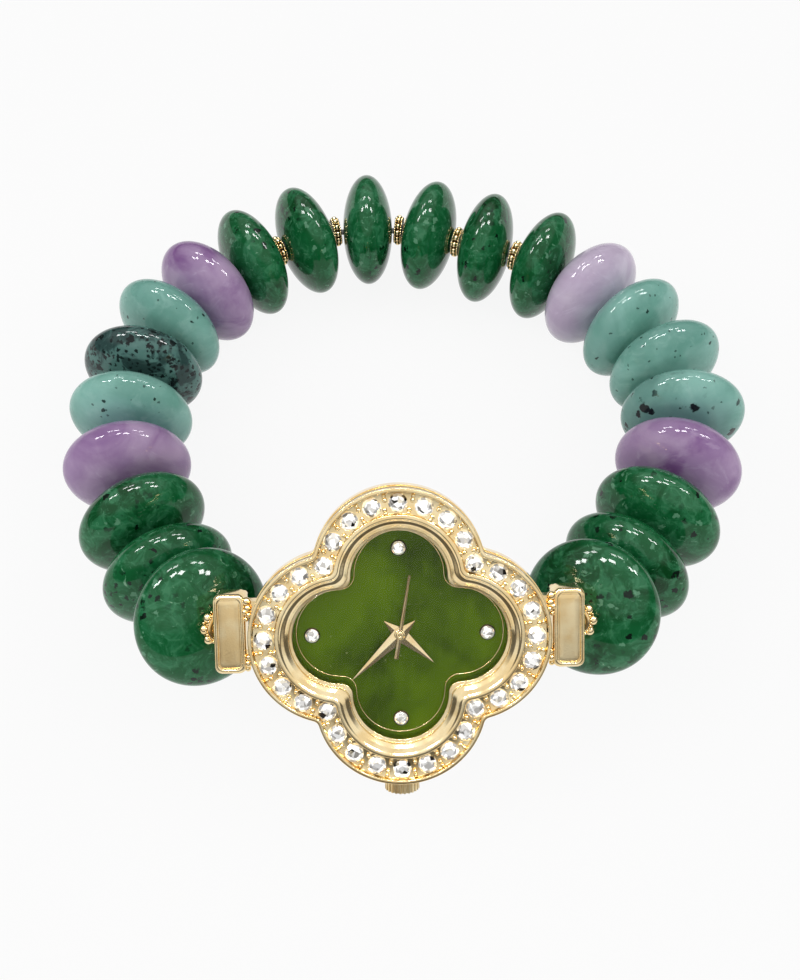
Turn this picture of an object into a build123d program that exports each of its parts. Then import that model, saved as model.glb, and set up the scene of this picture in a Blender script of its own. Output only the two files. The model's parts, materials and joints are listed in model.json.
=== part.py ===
"""A bead watch band: stone rondelles on an elastic cord, closed by a four-lobed quartz watch."""

import os
from math import acos, asin, atan2, cos, degrees, hypot, pi, radians, sin, sqrt, tan

from build123d import *

os.makedirs("parts", exist_ok=True)

# Beads and the string they hang on
bead_width = 16.0
green_thickness = 8.2
lilac_thickness = 8.7
teal_thickness = 7.7
slim_thickness = 7.4
bead_bore = 1.8
bead_clearance = 0.12
cord_diameter = 0.8
knot_diameter = 1.5
knot_inset = 1.3
knot_level = -1.85
knot_clearance = 0.1
end_rise = 37.0
end_gap = 0.8
arc_share = 0.45

# Granulated gold spacers
spacer_thickness = 1.1
end_spacer_thickness = 1.1
spacer_core = 3.7
spacer_bore = 1.5
granule_diameter = 0.85
granule_circle = 3.75
granule_count = 12
core_rim_share = 0.85

# Watch case
lobe_offset = 6.9
lobe_radius = 9.1
case_proud = 0.12
dial_lean = 47.5
bezel_seat = 0.4
bezel_height = 2.0
case_height = 3.2
case_taper = 25.0
taper_height = 1.6
notch_round = 0.8
back_inset = 0.95
back_thickness = 0.8
spigot_height = 0.45
spigot_width = 0.5
gasket_width = 0.5
gasket_depth = 0.4
gasket_land = 0.35

# Bezel
lip_width = 0.35
channel_depth = 0.85
channel_width = 2.45
inner_lip_width = 0.4
inner_lip_drop = 0.1
rehaut_width = 1.05
rehaut_depth = 0.5
crystal_thickness = 1.0
crystal_bevel = 0.3
crystal_clearance = 0.04
ledge_width = 0.35
opening_offset = 6.3
opening_notch = 1.3
stones_per_lobe = 7
stone_step = 20.3
stone_diameter = 2.05
seat_depth = 0.35
stone_table_share = 0.55
stone_crown_share = 0.14
stone_girdle_share = 0.2
stone_clearance = 0.02

# Dial and hands
dial_top = 0.2
dial_thickness = 0.4
dial_recess_margin = 0.5
dial_margin = 0.45
dial_hole = 1.4
marker_circle = 9.35
marker_diameter = 1.7
marker_seat = 0.2
hour_angle = 41.4
minute_angle = 136.7
seconds_angle = 279.6
hand_thickness = 0.14
hour_reach = 4.5
minute_reach = 6.8
seconds_reach = 7.1
tail_reach = 2.4
hour_width = 1.25
minute_width = 1.25
seconds_width = 0.22
hour_hub = 1.5
minute_hub = 1.4
seconds_hub = 0.9
hour_level = 0.4
minute_level = 0.66
seconds_level = 0.9
crystal_level = 1.2

# Lug blocks
lug_gap = 0.55
lug_width = 3.2
lug_height = 8.1
lug_front = -0.6
lug_shoulder = 1.6
lug_slope = 37.0
lug_round = 0.5
mouth_inset = 0.85
mouth_bore = 1.3
panel_border = 0.3
panel_depth = 0.12
neck_place = 2.9
neck_width = 1.3
neck_top = -1.1
neck_bottom = -2.6
neck_reach = 1.6

# Crown
crown_diameter = 3.8
crown_length = 1.6
crown_level = -1.3
crown_gap = 0.15
flute_count = 24
flute_diameter = 0.3
crown_chamfer = 0.2
stem_diameter = 0.9
stem_depth = 1.0
gasket_outer = 1.6
crown_gasket_length = 0.8
crown_gasket_inset = 0.6
gasket_clearance = 0.03
pull_room = 0.3

# Movement
movement_diameter = 17.2
ring_wall = 0.8
ring_clearance = 0.05
ring_top = -0.25
ring_bottom = -2.2
ring_stem_hole = 1.1
plate_top = -0.65
plate_thickness = 0.5
bridge_top = -2.25
bridge_thickness = 0.4
arbor_diameter = 0.24
pivot_clearance = 0.03
wheel_thickness = 0.12
pinion_thickness = 0.16
pillar_diameter = 1.8
screw_inset = 1.2
screw_shank = 0.56
screw_head = 1.2
screw_head_height = 0.12
screw_length = 1.1
screw_slot = 0.16
screw_angles = (75, 150, 330)
battery_diameter = 4.8
battery_height = 1.4
battery_edge = 0.5
battery_angle = 200.0
battery_clearance = 0.05
battery_cap_share = 0.8
board_inset = 2.37
board_angle = 42.4
board_side = 3.2
board_thickness = 0.15
board_level = -2.05
oscillator_diameter = 0.9
oscillator_length = 3.4
coil_inset = 2.91
coil_angle = 259.9
coil_level = -1.7
coil_length = 3.6
coil_diameter = 1.0
core_diameter = 0.5
core_overhang = 0.6
stator_top = -1.2
stator_thickness = 0.36
stator_diameter = 2.6
stator_arm = 0.9
rotor_hole = 1.5
magnet_diameter = 1.2
magnet_thickness = 0.3
magnet_level = -1.2

# Going train
train_distance = 3.4
motion_distance = 2.4
driver_module = 0.14
rotor_module = 0.1
train_angle = 120.0
motion_angle = 60.0
driver_angle = -30.0
rotor_angle = -100.0
pinion_teeth = 8
centre_teeth = 64
third_teeth = 60
seconds_teeth = 40
intermediate_teeth = 48
cannon_teeth = 12
minute_teeth = 36
minute_pinion_teeth = 10
hour_teeth = 40
addendum_share = 0.9
dedendum_share = 1.2
tooth_root_share = 0.26
tooth_tip_share = 0.13
seconds_arbor = 0.2
minute_arbor = 0.6
hour_arbor = 1.0
centre_level = -1.22
third_level = -1.42
intermediate_level = -1.62
seconds_wheel_level = -1.82
cannon_level = -0.47
hour_wheel_level = -0.27

overrun = 0.5

# The string from the left lug round the back to the right lug: each bead and its heading in plan
string_plan = (
    ("bead_left_1", "green", 132.5),
    ("bead_left_2", "green", 117.0),
    ("bead_left_3", "green", 118.0),
    ("bead_left_4", "lilac", 100.0),
    ("bead_left_5", "teal", 86.5),
    ("bead_left_6", "teal", 82.5),
    ("bead_left_7", "teal", 60.0),
    ("bead_left_8", "lilac", 51.5),
    ("bead_back_1", "slim", 34.0),
    ("bead_back_2", "slim", 27.0),
    ("bead_back_3", "slim", 1.5),
    ("bead_back_4", "slim", -17.0),
    ("bead_back_5", "slim", -18.0),
    ("bead_back_6", "slim", -29.5),
    ("bead_right_8", "lilac", -50.0),
    ("bead_right_7", "teal", -55.0),
    ("bead_right_6", "teal", -68.5),
    ("bead_right_5", "teal", -92.5),
    ("bead_right_4", "lilac", -108.5),
    ("bead_right_3", "green", -119.5),
    ("bead_right_2", "green", -124.5),
    ("bead_right_1", "green", -125.5),
)
thickness_of = {
    "green": green_thickness,
    "lilac": lilac_thickness,
    "teal": teal_thickness,
    "slim": slim_thickness,
}
names = [bead[0] for bead in string_plan]
thicknesses = [thickness_of[bead[1]] for bead in string_plan]
last = len(names) - 1

# Sizes of the head that the string and its neighbours share
case_half = lobe_offset + lobe_radius
lug_inner = case_half + case_proud + lug_gap
mouth_across = lug_inner + lug_width - mouth_inset
mouth_level = lug_front - lug_shoulder - mouth_inset * tan(radians(lug_slope))
bezel_top = bezel_seat + bezel_height
case_bottom = bezel_seat - case_height
case_bore = movement_diameter + 2 * ring_wall


def heading(angle, rise):
    """The direction of the string at a heading in plan and a rise, both in degrees."""
    level = cos(radians(rise))
    return Vector(level * cos(radians(angle)), level * sin(radians(angle)), sin(radians(rise)))


def lean_room(thickness, turn):
    """How far past its pole a bead needs its junction, so that it clears one turned from it."""
    half = turn / 2
    support = hypot(thickness / 2 * cos(half), bead_width / 2 * sin(half)) / cos(half)
    return support - thickness / 2 + bead_clearance / 2


def string_layout(bend):
    """Bead centres, spacer places, cord corners and the two mouths, for a share of full bend."""
    rises = [-end_rise] + [0] * (last - 1) + [end_rise]
    ways = [heading(bend * bead[2], rise) for bead, rise in zip(string_plan, rises)]
    corners, centres, spacers = [], [], []
    here = Vector(0, 0, bead_width / 2)
    for k in range(last + 1):
        if k:
            before, way = ways[k - 1], ways[k]
            turn = radians(before.get_angle(way))
            if string_plan[k - 1][1] == string_plan[k][1] == "slim":
                middle = (before + way).normalized()
                room = bead_clearance + granule_circle / 2 * tan(turn / 2)
                reach = (spacer_thickness + room) / 2
                corners.append(here + before * (room / 2 + reach / cos(turn / 2)))
                spacers.append((here + before * (room / 2) + middle * reach, middle))
                here = here + before * (room / 2) + middle * (2 * reach) + way * (room / 2)
            else:
                here = here + before * lean_room(thicknesses[k - 1], turn)
                corners.append(here)
                here = here + way * lean_room(thicknesses[k], turn)
        centres.append(here + ways[k] * (thicknesses[k] / 2))
        here = here + ways[k] * thicknesses[k]
    end_reach = bead_clearance + end_spacer_thickness + end_gap
    spacer_reach = bead_clearance + end_spacer_thickness / 2
    mouths = []
    for k, way in ((0, -ways[0]), (last, ways[last])):
        face = centres[k] + way * (thicknesses[k] / 2)
        spacers.append((face + way * spacer_reach, way))
        mouths.append(face + way * end_reach)
    return ways, centres, spacers, corners, mouths


def mouth_error(bend):
    left, right = string_layout(bend)[4]
    return (right - left).length - 2 * mouth_across


# The bend is what closes the string on the two lug mouths, found by halving an interval
low_bend, high_bend = 0.7, 1.3
for _ in range(40):
    bend = (low_bend + high_bend) / 2
    if mouth_error(bend) > 0:
        low_bend = bend
    else:
        high_bend = bend
ways, centres, spacers, corners, mouths = string_layout(bend)

# Height is set so that the second bead lies on the table, as all but the end beads do
lift = Vector(0, 0, bead_width / 2 - centres[1].Z)
across = (mouths[1] - mouths[0]).normalized()
front = across.cross(Vector(0, 0, 1)).normalized()
out = front * cos(radians(dial_lean)) + Vector(0, 0, sin(radians(dial_lean)))
up = out.cross(across)
head = (mouths[0] + mouths[1]) * 0.5 - out * mouth_level + lift
crown_tip = case_half + case_proud + crown_gap + crown_length


def bead_reach(k):
    """How far a bead reaches sideways in plan from its centre, along Y and along X."""
    wide, thin = bead_width / 2, thicknesses[k] / 2
    return [hypot(wide * sqrt(1 - part**2), thin * part) for part in (ways[k].Y, ways[k].X)]


crown_end = head - up * crown_tip + out * crown_level
crown_front = crown_end.Y - crown_diameter / 2 * hypot(across.Y, out.Y)
far_back = max(centres[k].Y + bead_reach(k)[0] for k in range(last + 1))
far_left = min(centres[k].X - bead_reach(k)[1] for k in range(last + 1))
far_right = max(centres[k].X + bead_reach(k)[1] for k in range(last + 1))
shift = Vector(-(far_left + far_right) / 2, -(far_back + crown_front) / 2, 0)
move = shift + lift
centres = [point + move for point in centres]
corners = [point + move for point in corners]
mouths = [point + move for point in mouths]
spacers = [(point + move, way) for point, way in spacers]
head = head + shift


def at(level):
    """The plane parallel to the dial at a level above the head's middle, with x along the lugs."""
    return Plane(origin=head + out * level, x_dir=across, z_dir=out)


def place(x, y, level):
    return head + across * x + up * y + out * level


def knot_place(side):
    """The middle of the knot inside a lug block, on the left for -1 and on the right for 1."""
    return place(side * (mouth_across - knot_inset), 0, knot_level)


def polar(radius, angle):
    return radius * cos(radians(angle)), radius * sin(radians(angle))


# Places in the movement, measured in from its rim
movement_radius = movement_diameter / 2
screw_circle = movement_diameter - 2 * screw_inset
stem_inner = movement_radius - stem_depth
battery_place = polar(movement_radius - battery_edge - battery_diameter / 2, battery_angle)
board_place = polar(movement_radius - board_inset, board_angle)
coil_place = polar(movement_radius - coil_inset, coil_angle)


def quatrefoil(offset, radius, notch):
    """Four overlapping circles and the square between their crossings, with rounded notches."""
    crossing = (offset + sqrt(2 * radius**2 - offset**2)) / 2
    with PolarLocations(offset, 4):
        Circle(radius)
    Rectangle(2 * crossing, 2 * crossing)
    corners_of = [v for v in vertices() if abs(hypot(v.X, v.Y) - crossing * sqrt(2)) < crossing / 20]
    fillet(corners_of, notch)


def notch_reach(offset, radius, notch):
    """How far out on the diagonal the rounded notch of such an outline lies."""
    return (offset + sqrt(2 * (radius + notch)**2 - offset**2)) / sqrt(2) - notch


def ring_of(level, outer, inner, height):
    """A plain ring or, with no inner diameter, a disc standing down from a level."""
    with BuildPart() as ring:
        with BuildSketch(at(level)):
            Circle(outer / 2)
            if inner:
                Circle(inner / 2, mode=Mode.SUBTRACT)
        extrude(amount=-height)
    return ring.part


def save(part, label):
    part.label = label
    export_step(part, f"parts/{label}.step")


def make_bead(k):
    """An oblate stone turned on the line of the string, bored through."""
    side = ways[k].cross(Vector(0, 0, 1)).normalized()
    plane = Plane(origin=centres[k], x_dir=side, z_dir=side.cross(ways[k]))
    with BuildPart() as bead:
        with BuildSketch(plane):
            Ellipse(bead_width / 2, thicknesses[k] / 2)
            with Locations((-bead_width / 2, 0)):
                Rectangle(bead_width, thicknesses[k], mode=Mode.SUBTRACT)
        revolve(axis=Axis(centres[k], ways[k]))
        with BuildSketch(Plane(origin=centres[k], z_dir=ways[k])):
            Circle(bead_bore / 2)
        extrude(amount=thicknesses[k], both=True, mode=Mode.SUBTRACT)
    return bead.part


def make_spacer(centre, way, thickness):
    """A core with rounded rims and a circle of granules round its waist."""
    plane = Plane(origin=centre, z_dir=way)
    with BuildPart() as spacer:
        with BuildSketch(plane.offset(-thickness / 2)):
            Circle(spacer_core / 2)
        extrude(amount=thickness)
        rims = spacer.edges().filter_by(GeomType.CIRCLE)
        chamfer(rims, thickness * (1 - core_rim_share))
        with Locations(plane):
            with PolarLocations(granule_circle / 2, granule_count):
                Sphere(granule_diameter / 2)
        with BuildSketch(plane):
            Circle(spacer_bore / 2)
        extrude(amount=thickness, both=True, mode=Mode.SUBTRACT)
    return spacer.part


def make_cord():
    """The elastic through every bead, turning up into the two lug blocks, with a knot at each end."""
    knots = [knot_place(side) for side in (-1, 1)]
    points = [knots[0], mouths[0], *corners, mouths[1], knots[1]]
    radii = []
    for before, corner, after in zip(points, points[1:], points[2:]):
        first, second = corner - before, after - corner
        turn = radians(first.get_angle(second))
        radii.append(arc_share * min(first.length, second.length) / tan(turn / 2))
    print("cord arcs, smallest and largest radius in mm:", round(min(radii), 1), round(max(radii), 1))
    with BuildPart() as cord:
        with BuildLine() as route:
            FilletPolyline(*points, radius=radii)
        path = route.wires()[0]
        with BuildSketch(Plane(origin=path @ 0, z_dir=path % 0)):
            Circle(cord_diameter / 2)
        sweep(path=path)
        swept = pi * cord_diameter**2 / 4 * path.length
        print("cord length in mm:", round(path.length, 1))
        print("volume of the cord over section times length:", round(cord.part.volume / swept, 4))
        with Locations(*knots):
            Sphere(knot_diameter / 2)
    return cord.part


def make_case():
    """The case middle: tapered towards its back, bored for the movement, with necks and lug blocks."""
    outer = lobe_radius + case_proud
    with BuildPart() as case:
        with BuildSketch(at(bezel_seat)):
            quatrefoil(lobe_offset, outer, notch_round)
        extrude(amount=-(case_height - taper_height))
        with BuildSketch(at(case_bottom + taper_height)):
            quatrefoil(lobe_offset, outer, notch_round)
        extrude(amount=-taper_height, taper=case_taper)
        lug_depth = lug_shoulder + lug_width * tan(radians(lug_slope))
        lug_middle = lug_inner + lug_width / 2
        with BuildSketch(at(lug_front)):
            with Locations((-lug_middle, 0), (lug_middle, 0)):
                RectangleRounded(lug_width, lug_height, lug_round)
        extrude(amount=-lug_depth)
        with BuildSketch(Plane(origin=head, x_dir=across, z_dir=-up)):
            for side in (-1, 1):
                outside, inside = side * (lug_inner + lug_width), side * lug_inner
                with BuildLine():
                    Polyline((outside, lug_front - lug_shoulder), (inside, lug_front - lug_depth),
                             (inside, lug_front - lug_depth - overrun),
                             (outside + side * overrun, lug_front - lug_depth - overrun),
                             (outside + side * overrun, lug_front - lug_shoulder), close=True)
                make_face()
        extrude(amount=lug_height, both=True, mode=Mode.SUBTRACT)
        with BuildSketch(at(lug_front)):
            with Locations((-lug_middle, 0), (lug_middle, 0)):
                RectangleRounded(lug_width - 2 * panel_border, lug_height - 2 * panel_border,
                                 lug_round - panel_border / 2)
        extrude(amount=-panel_depth, mode=Mode.SUBTRACT)
        with BuildSketch(at(neck_top)):
            for side in (-1, 1):
                with Locations((side * (lug_inner - neck_reach / 2 + overrun / 2), neck_place),
                               (side * (lug_inner - neck_reach / 2 + overrun / 2), -neck_place)):
                    Rectangle(neck_reach + overrun, neck_width)
        extrude(amount=neck_bottom - neck_top)
        with BuildSketch(at(bezel_seat)):
            Circle(case_bore / 2)
        extrude(amount=-case_height, mode=Mode.SUBTRACT)
        with BuildSketch(at(bezel_seat)):
            quatrefoil(opening_offset, dial_radius + dial_recess_margin - dial_margin, opening_notch)
        extrude(amount=-(bezel_seat - dial_top + dial_thickness), mode=Mode.SUBTRACT)
        with BuildSketch(at(case_bottom)):
            Circle(gasket_outer_radius)
            Circle(gasket_outer_radius - gasket_width, mode=Mode.SUBTRACT)
        extrude(amount=gasket_depth, mode=Mode.SUBTRACT)
        for side in (-1, 1):
            mouth = mouths[0] if side < 0 else mouths[1]
            inward = knot_place(side) - mouth
            aim = inward.normalized()
            with BuildSketch(Plane(origin=mouth - aim * overrun, z_dir=aim)):
                Circle(mouth_bore / 2)
            extrude(amount=overrun + inward.length, mode=Mode.SUBTRACT)
            pocket_start = lug_inner - lug_gap / 2
            pocket_end = mouth_across - knot_inset + knot_diameter / 2 + knot_clearance
            with BuildSketch(Plane(origin=place(side * pocket_start, 0, knot_level), z_dir=across * side)):
                Circle(knot_diameter / 2 + knot_clearance)
            extrude(amount=pocket_end - pocket_start, mode=Mode.SUBTRACT)
        with BuildSketch(crown_plane(case_half + overrun)):
            Circle(gasket_outer / 2)
        extrude(amount=-(case_half + overrun - case_bore / 2 + overrun), mode=Mode.SUBTRACT)
    return case.part


def crown_plane(reach):
    """The plane square to the stem, at a distance from the middle of the head towards the crown."""
    return Plane(origin=place(0, -reach, crown_level), x_dir=across, z_dir=-up)


# Outlines that the bezel, the crystal, the dial and the case share, as lobe radii
inner_lip_radius = case_half - lip_width - channel_width - opening_offset
rehaut_radius = inner_lip_radius - inner_lip_width
crystal_radius = rehaut_radius - rehaut_width
opening_radius = crystal_radius - ledge_width
dial_radius = crystal_radius + dial_margin
gasket_outer_radius = case_bore / 2 + gasket_land + gasket_width
channel_radius = lobe_radius - lip_width
stone_offset = (lobe_offset + opening_offset) / 2
stone_circle = (channel_radius + inner_lip_radius) / 2
stone_notch = (notch_reach(lobe_offset, channel_radius, notch_round)
               + notch_reach(opening_offset, inner_lip_radius, notch_round)) / 2
channel_floor = bezel_top - channel_depth
rehaut_top = bezel_top - inner_lip_drop


def stone_places():
    """Seven stones round each lobe and one in each notch, as points on a dial plane."""
    places = []
    half = (stones_per_lobe - 1) // 2
    for lobe in range(4):
        turn = 90 * lobe
        x, y = polar(stone_offset, turn)
        for k in range(-half, half + 1):
            dx, dy = polar(stone_circle, turn + k * stone_step)
            places.append((x + dx, y + dy))
        places.append(polar(stone_notch, turn + 45))
    return places


def make_bezel():
    """A lip, a sunk channel for the stones, an inner lip, a slope and the crystal's seat."""
    with BuildPart() as bezel:
        with BuildSketch(at(bezel_seat)):
            quatrefoil(lobe_offset, lobe_radius, notch_round)
        extrude(amount=bezel_height)
        with BuildSketch(at(channel_floor)):
            quatrefoil(lobe_offset, channel_radius, notch_round)
        extrude(amount=channel_depth, mode=Mode.SUBTRACT)
        with BuildSketch(at(channel_floor)):
            quatrefoil(opening_offset, inner_lip_radius, notch_round)
        extrude(amount=channel_depth - inner_lip_drop)
        with BuildSketch(at(crystal_level)):
            quatrefoil(opening_offset, crystal_radius, opening_notch)
        extrude(amount=bezel_height, mode=Mode.SUBTRACT)
        with BuildSketch(at(bezel_seat)):
            quatrefoil(opening_offset, opening_radius, opening_notch)
        extrude(amount=bezel_height, mode=Mode.SUBTRACT)
        lip = bezel.faces().filter_by(Axis(head, out)).sort_by(Axis(head, out))[-2]
        chamfer(lip.inner_wires()[0].edges(), rehaut_width, rehaut_depth, reference=lip)
        with BuildSketch(at(channel_floor)):
            with Locations(*stone_places()):
                Circle(stone_diameter / 2)
        extrude(amount=-seat_depth, mode=Mode.SUBTRACT)
    return bezel.part


def make_stones(places, level, diameter):
    """Round stones cut with a table, a crown and a girdle, each a solid of its own."""
    radius = diameter / 2 - stone_clearance
    crown = stone_crown_share * diameter
    with BuildPart() as stones:
        with BuildSketch(at(level)):
            with Locations(*places):
                Circle(radius)
        extrude(amount=seat_depth + stone_girdle_share * diameter)
        with BuildSketch(at(level + seat_depth + stone_girdle_share * diameter)):
            with Locations(*places):
                Circle(radius)
        narrowing = degrees(atan2(radius * (1 - stone_table_share), crown))
        extrude(amount=crown, taper=narrowing)
    return stones.part


def make_crystal():
    with BuildPart() as crystal:
        with BuildSketch(at(crystal_level)):
            quatrefoil(opening_offset, crystal_radius - crystal_clearance, opening_notch)
        extrude(amount=crystal_thickness)
        top = crystal.faces().sort_by(Axis(head, out))[-1]
        chamfer(top.edges(), crystal_bevel)
    return crystal.part


def make_dial():
    with BuildPart() as dial:
        with BuildSketch(at(dial_top)):
            quatrefoil(opening_offset, dial_radius, opening_notch)
            Circle(dial_hole / 2, mode=Mode.SUBTRACT)
        extrude(amount=-dial_thickness)
        with BuildSketch(at(dial_top)):
            with PolarLocations(marker_circle, 4):
                Circle(marker_diameter / 2)
        extrude(amount=-marker_seat, mode=Mode.SUBTRACT)
    return dial.part


def make_back():
    """The back plate with a spigot that fits the bore of the case."""
    inset = taper_height * tan(radians(case_taper))
    with BuildPart() as back:
        with BuildSketch(at(case_bottom)):
            quatrefoil(lobe_offset, lobe_radius + case_proud - inset - lip_width, notch_round)
        extrude(amount=-back_thickness)
        rear = back.faces().sort_by(Axis(head, out))[0]
        chamfer(rear.edges(), back_thickness / 2)
        with BuildSketch(at(case_bottom)):
            Circle(case_bore / 2 - ring_clearance)
            Circle(case_bore / 2 - ring_clearance - spigot_width, mode=Mode.SUBTRACT)
        extrude(amount=spigot_height)
    return back.part


def make_ring():
    """The plastic ring that holds the movement in the case, with a hole for the stem."""
    with BuildPart() as ring:
        with BuildSketch(at(ring_top)):
            Circle(case_bore / 2 - ring_clearance)
            Circle(movement_diameter / 2 + ring_clearance, mode=Mode.SUBTRACT)
        extrude(amount=ring_bottom - ring_top)
        with BuildSketch(crown_plane(case_bore / 2 + overrun)):
            Circle(ring_stem_hole / 2)
        extrude(amount=-(case_bore - movement_diameter) / 2 - 2 * overrun, mode=Mode.SUBTRACT)
    return ring.part


def gear_points(teeth, module, phase):
    """The outline of a spur gear: four corners for each tooth, with one tooth at the phase."""
    pitch_radius = teeth * module / 2
    root = pitch_radius - dedendum_share * module
    tip = pitch_radius + addendum_share * module
    corners_of_tooth = ((-tooth_root_share, root), (-tooth_tip_share, tip),
                        (tooth_tip_share, tip), (tooth_root_share, root))
    return [polar(radius, phase + 360 * (k + share) / teeth)
            for k in range(teeth) for share, radius in corners_of_tooth]


def add_gear(centre, level, teeth, module, phase, thickness):
    """Adds a gear hanging down from a level to the part being built."""
    with BuildSketch(at(level)) as outline:
        with BuildLine():
            points = gear_points(teeth, module, phase)
            Polyline(*[(centre[0] + x, centre[1] + y) for x, y in points], close=True)
        make_face()
    extrude(outline.sketch, amount=-thickness)


def add_rod(centre, top, bottom, diameter, mode=Mode.ADD):
    with BuildSketch(at(top)) as section:
        with Locations(centre):
            Circle(diameter / 2)
    extrude(section.sketch, amount=bottom - top, mode=mode)


# Places of the arbors, and the modules that their distances set
middle = (0, 0)
third_place = polar(train_distance, train_angle)
minute_place = polar(motion_distance, motion_angle)
driver_distance = driver_module * (pinion_teeth + seconds_teeth) / 2
driver_place = polar(driver_distance, driver_angle)
rotor_distance = rotor_module * (pinion_teeth + intermediate_teeth) / 2
rotor_offset = polar(rotor_distance, rotor_angle)
rotor_place = (driver_place[0] + rotor_offset[0], driver_place[1] + rotor_offset[1])
centre_module = 2 * train_distance / (pinion_teeth + centre_teeth)
third_module = 2 * train_distance / (pinion_teeth + third_teeth)
cannon_module = 2 * motion_distance / (cannon_teeth + minute_teeth)
hour_module = 2 * motion_distance / (minute_pinion_teeth + hour_teeth)
plate_bottom = plate_top - plate_thickness
bridge_bottom = bridge_top - bridge_thickness
pivot_top = (plate_top + plate_bottom) / 2
pivot_bottom = (bridge_top + bridge_bottom) / 2


def meshing(angle, teeth):
    """The phase that puts a gap of a driven gear where the driving gear has its tooth."""
    return angle + 180 + 180 / teeth


def make_rotor():
    with BuildPart() as rotor:
        add_rod(rotor_place, pivot_top, pivot_bottom, arbor_diameter)
        add_rod(rotor_place, magnet_level, magnet_level - magnet_thickness, magnet_diameter)
        add_gear(rotor_place, intermediate_level, pinion_teeth, rotor_module,
                 meshing(rotor_angle, pinion_teeth), pinion_thickness)
    return rotor.part


def make_intermediate():
    with BuildPart() as wheel:
        add_rod(driver_place, pivot_top, pivot_bottom, arbor_diameter)
        add_gear(driver_place, intermediate_level, intermediate_teeth, rotor_module,
                 rotor_angle, wheel_thickness)
        add_gear(driver_place, seconds_wheel_level, pinion_teeth, driver_module,
                 meshing(driver_angle, pinion_teeth), pinion_thickness)
    return wheel.part


def make_seconds_wheel():
    with BuildPart() as wheel:
        add_rod(middle, seconds_level + hand_thickness / 2, pivot_bottom, seconds_arbor)
        add_gear(middle, third_level, pinion_teeth, third_module, train_angle, pinion_thickness)
        add_gear(middle, seconds_wheel_level, seconds_teeth, driver_module, driver_angle, wheel_thickness)
    return wheel.part


def make_third_wheel():
    with BuildPart() as wheel:
        add_rod(third_place, pivot_top, pivot_bottom, arbor_diameter)
        add_gear(third_place, centre_level, pinion_teeth, centre_module,
                 meshing(train_angle, pinion_teeth), pinion_thickness)
        add_gear(third_place, third_level, third_teeth, third_module,
                 meshing(train_angle, third_teeth), wheel_thickness)
    return wheel.part


def make_centre_wheel():
    with BuildPart() as wheel:
        add_gear(middle, centre_level, centre_teeth, centre_module, train_angle, wheel_thickness)
        add_gear(middle, cannon_level, cannon_teeth, cannon_module, motion_angle, pinion_thickness)
        add_rod(middle, minute_level + hand_thickness, centre_level - wheel_thickness, minute_arbor)
        add_rod(middle, bezel_top, case_bottom, seconds_arbor + 2 * pivot_clearance, Mode.SUBTRACT)
    return wheel.part


def make_minute_wheel():
    with BuildPart() as wheel:
        add_rod(minute_place, hour_wheel_level, plate_bottom, arbor_diameter)
        add_gear(minute_place, cannon_level, minute_teeth, cannon_module,
                 meshing(motion_angle, minute_teeth), wheel_thickness)
        add_gear(minute_place, hour_wheel_level, minute_pinion_teeth, hour_module,
                 meshing(motion_angle, minute_pinion_teeth), wheel_thickness)
    return wheel.part


def make_hour_wheel():
    with BuildPart() as wheel:
        add_gear(middle, hour_wheel_level, hour_teeth, hour_module, motion_angle, wheel_thickness)
        add_rod(middle, hour_level + hand_thickness, hour_wheel_level - wheel_thickness, hour_arbor)
        add_rod(middle, bezel_top, case_bottom, minute_arbor + 2 * pivot_clearance, Mode.SUBTRACT)
    return wheel.part


def make_hand(angle, reach, width, hub, level, bore):
    """A pointed hand with a pointed tail and a round hub, measured clockwise from the lug side."""
    with BuildPart() as hand:
        with BuildSketch(at(level)):
            with BuildLine():
                points = ((reach, 0), (0, width / 2), (-tail_reach, 0), (0, -width / 2))
                turned = [(x * cos(radians(angle)) + y * sin(radians(angle)),
                           y * cos(radians(angle)) - x * sin(radians(angle))) for x, y in points]
                Polyline(*turned, close=True)
            make_face()
            Circle(hub / 2)
            Circle(bore / 2, mode=Mode.SUBTRACT)
        extrude(amount=hand_thickness)
    return hand.part


def make_plate():
    """The main plate with its pivot holes, the pillars for the bridge, and a notch for the stem."""
    with BuildPart() as plate:
        add_rod(middle, plate_top, plate_bottom, movement_diameter)
        for angle in screw_angles:
            post = polar(screw_circle / 2, angle)
            add_rod(post, plate_bottom, bridge_top, pillar_diameter)
            add_rod(post, plate_bottom, bridge_top, screw_shank + 2 * pivot_clearance, Mode.SUBTRACT)
        for post in (third_place, driver_place, rotor_place, minute_place):
            add_rod(post, plate_top, plate_bottom, arbor_diameter + 2 * pivot_clearance, Mode.SUBTRACT)
        add_rod(middle, plate_top, plate_bottom, minute_arbor + 2 * pivot_clearance, Mode.SUBTRACT)
        with BuildSketch(at(plate_top)):
            with Locations((0, -movement_diameter / 2)):
                Rectangle(stem_diameter + overrun, movement_diameter - 2 * (stem_inner - overrun))
        extrude(amount=-plate_thickness, mode=Mode.SUBTRACT)
    return plate.part


def make_bridge():
    """The train bridge, cut away round the battery cell."""
    with BuildPart() as bridge:
        add_rod(middle, bridge_top, bridge_bottom, movement_diameter - 2 * spigot_width - 4 * ring_clearance)
        add_rod(battery_place, bridge_top, bridge_bottom,
                battery_diameter + 2 * battery_clearance, Mode.SUBTRACT)
        for post in (third_place, driver_place, rotor_place):
            add_rod(post, bridge_top, bridge_bottom, arbor_diameter + 2 * pivot_clearance, Mode.SUBTRACT)
        add_rod(middle, bridge_top, bridge_bottom, seconds_arbor + 2 * pivot_clearance, Mode.SUBTRACT)
        for angle in screw_angles:
            add_rod(polar(screw_circle / 2, angle), bridge_top, bridge_bottom,
                    screw_shank + 2 * pivot_clearance, Mode.SUBTRACT)
    return bridge.part


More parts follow.
